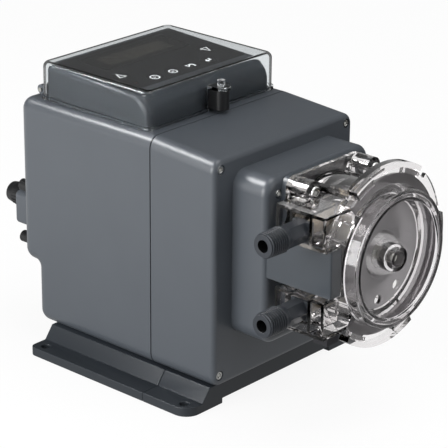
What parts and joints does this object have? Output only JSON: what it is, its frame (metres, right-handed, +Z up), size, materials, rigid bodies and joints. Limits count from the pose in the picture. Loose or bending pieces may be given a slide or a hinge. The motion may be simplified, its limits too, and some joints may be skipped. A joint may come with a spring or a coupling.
{
  "type": "peristaltic dosing pump",
  "caption": "Peristaltic dosing pump: grey drive housing on a foot, clear roller pump head with twist-on cover and threaded ports, keypad under a hinged clear cover.",
  "frame": {"origin": "centre of the four bolt holes, on the foot's underside", "axes": "+Z up; the pump head points along -Y; the two ports leave the head along -X"},
  "size_m": [0.1975, 0.3476, 0.2216],
  "materials": {
    "housing": "satin",
    "foot": "satin",
    "steel": "brushed",
    "gasket": "matte",
    "black_rubber": "matte",
    "motor": "satin",
    "pinion": "machined",
    "gear": "satin",
    "smoke": "clear",
    "clear": "clear",
    "fitting": "satin",
    "tube": "satin",
    "rotor": "satin",
    "roller": "satin",
    "overlay": "satin",
    "display": "polished",
    "board": "satin",
    "lamp": "gloss",
    "latch": "satin",
    "knob": "clear",
    "core": "satin"
  },
  "bodies": {
    "pump": {"foot_rear": "foot", "foot_front": "foot", "foot_screws": "steel", "rear_housing": "housing", "front_housing": "housing", "housing_gasket": "gasket", "hinge_brackets": "housing", "housing_screws": "steel", "boss_screws": "steel", "gear_plate": "steel", "motor": "motor", "rear_bearing": "steel", "front_bearing": "steel", "shaft_seal": "gasket", "head_base": "housing", "head_housing": "smoke", "head_screws": "steel", "rest_pad": "black_rubber", "suction_fitting": "fitting", "discharge_fitting": "fitting", "pump_tube": "tube", "control_pod": "housing", "panel_overlay": "overlay", "display_window": "display", "display_module": "board", "key_board": "board", "status_lamp": "lamp", "hinge_pin": "steel", "latch_post": "latch", "terminal_cover": "housing", "power_gland": "latch", "gland_nut": "latch", "upper_signal_gland": "latch", "lower_signal_gland": "latch", "main_board": "board", "transformer": "core"},
    "drive": {"drive_gear": "gear", "drive_shaft": "steel", "rotor_rear_plate": "rotor", "rotor_front_plate": "rotor", "rotor_hub": "rotor", "roller_pins": "steel", "rotor_nut": "steel"},
    "pinion": {"motor_pinion": "pinion", "motor_shaft": "steel"},
    "roller_1": {"roller_1": "roller"},
    "roller_2": {"roller_2": "roller"},
    "roller_3": {"roller_3": "roller"},
    "head_cover": {"head_cover": "smoke", "nose_bearing": "steel"},
    "keypad_cover": {"panel_cover": "clear"},
    "latch_stud": {"latch_stud": "knob"},
    "key_down": {"key_down": "overlay"},
    "key_up": {"key_up": "overlay"},
    "key_start": {"key_start": "overlay"},
    "key_stop": {"key_stop": "overlay"},
    "key_back": {"key_back": "overlay"},
    "key_enter": {"key_enter": "overlay"}
  },
  "joints": [
    {"name": "drive", "type": "hinge", "parent": "pump", "child": "drive", "pos_m": [0, -0.09, 0.1243], "axis": [0, 1, 0], "continuous": true},
    {"name": "motor_spin", "type": "hinge", "parent": "pump", "child": "pinion", "pos_m": [0, -0.09, 0.0793], "axis": [0, 1, 0], "continuous": true},
    {"name": "roller_1_spin", "type": "hinge", "parent": "drive", "child": "roller_1", "pos_m": [0.02152, -0.147, 0.13088], "axis": [0, 1, 0], "continuous": true},
    {"name": "roller_2_spin", "type": "hinge", "parent": "drive", "child": "roller_2", "pos_m": [-0.01646, -0.147, 0.13964], "axis": [0, 1, 0], "continuous": true},
    {"name": "roller_3_spin", "type": "hinge", "parent": "drive", "child": "roller_3", "pos_m": [-0.00506, -0.147, 0.10238], "axis": [0, 1, 0], "continuous": true},
    {"name": "head_cover_twist", "type": "hinge", "parent": "pump", "child": "head_cover", "pos_m": [0, -0.173, 0.1243], "axis": [0, -1, 0], "range_deg": [0, 30]},
    {"name": "keypad_cover_hinge", "type": "hinge", "parent": "pump", "child": "keypad_cover", "pos_m": [0, 0.1, 0.1968], "axis": [-1, 0, 0], "range_deg": [0, 100]},
    {"name": "latch_turn", "type": "hinge", "parent": "keypad_cover", "child": "latch_stud", "pos_m": [0, -0.0234, 0.21], "axis": [0, 0, 1], "range_deg": [0, 90]},
    {"name": "key_down_press", "type": "slide", "parent": "pump", "child": "key_down", "axis": [0, 0.0424, -0.9991], "range_m": [0, 0.0005], "stiffness_N_per_m": 2000, "springref_m": -0.0002},
    {"name": "key_up_press", "type": "slide", "parent": "pump", "child": "key_up", "axis": [0, 0.0424, -0.9991], "range_m": [0, 0.0005], "stiffness_N_per_m": 2000, "springref_m": -0.0002},
    {"name": "key_start_press", "type": "slide", "parent": "pump", "child": "key_start", "axis": [0, 0.0424, -0.9991], "range_m": [0, 0.0005], "stiffness_N_per_m": 2000, "springref_m": -0.0002},
    {"name": "key_stop_press", "type": "slide", "parent": "pump", "child": "key_stop", "axis": [0, 0.0424, -0.9991], "range_m": [0, 0.0005], "stiffness_N_per_m": 2000, "springref_m": -0.0002},
    {"name": "key_back_press", "type": "slide", "parent": "pump", "child": "key_back", "axis": [0, 0.0424, -0.9991], "range_m": [0, 0.0005], "stiffness_N_per_m": 2000, "springref_m": -0.0002},
    {"name": "key_enter_press", "type": "slide", "parent": "pump", "child": "key_enter", "axis": [0, 0.0424, -0.9991], "range_m": [0, 0.0005], "stiffness_N_per_m": 2000, "springref_m": -0.0002}
  ],
  "couplings": [
    {"joint": "motor_spin", "follows": "drive", "ratio": -5},
    {"joint": "roller_1_spin", "follows": "drive", "ratio": -3.25},
    {"joint": "roller_2_spin", "follows": "drive", "ratio": -3.25},
    {"joint": "roller_3_spin", "follows": "drive", "ratio": -3.25}
  ]
}
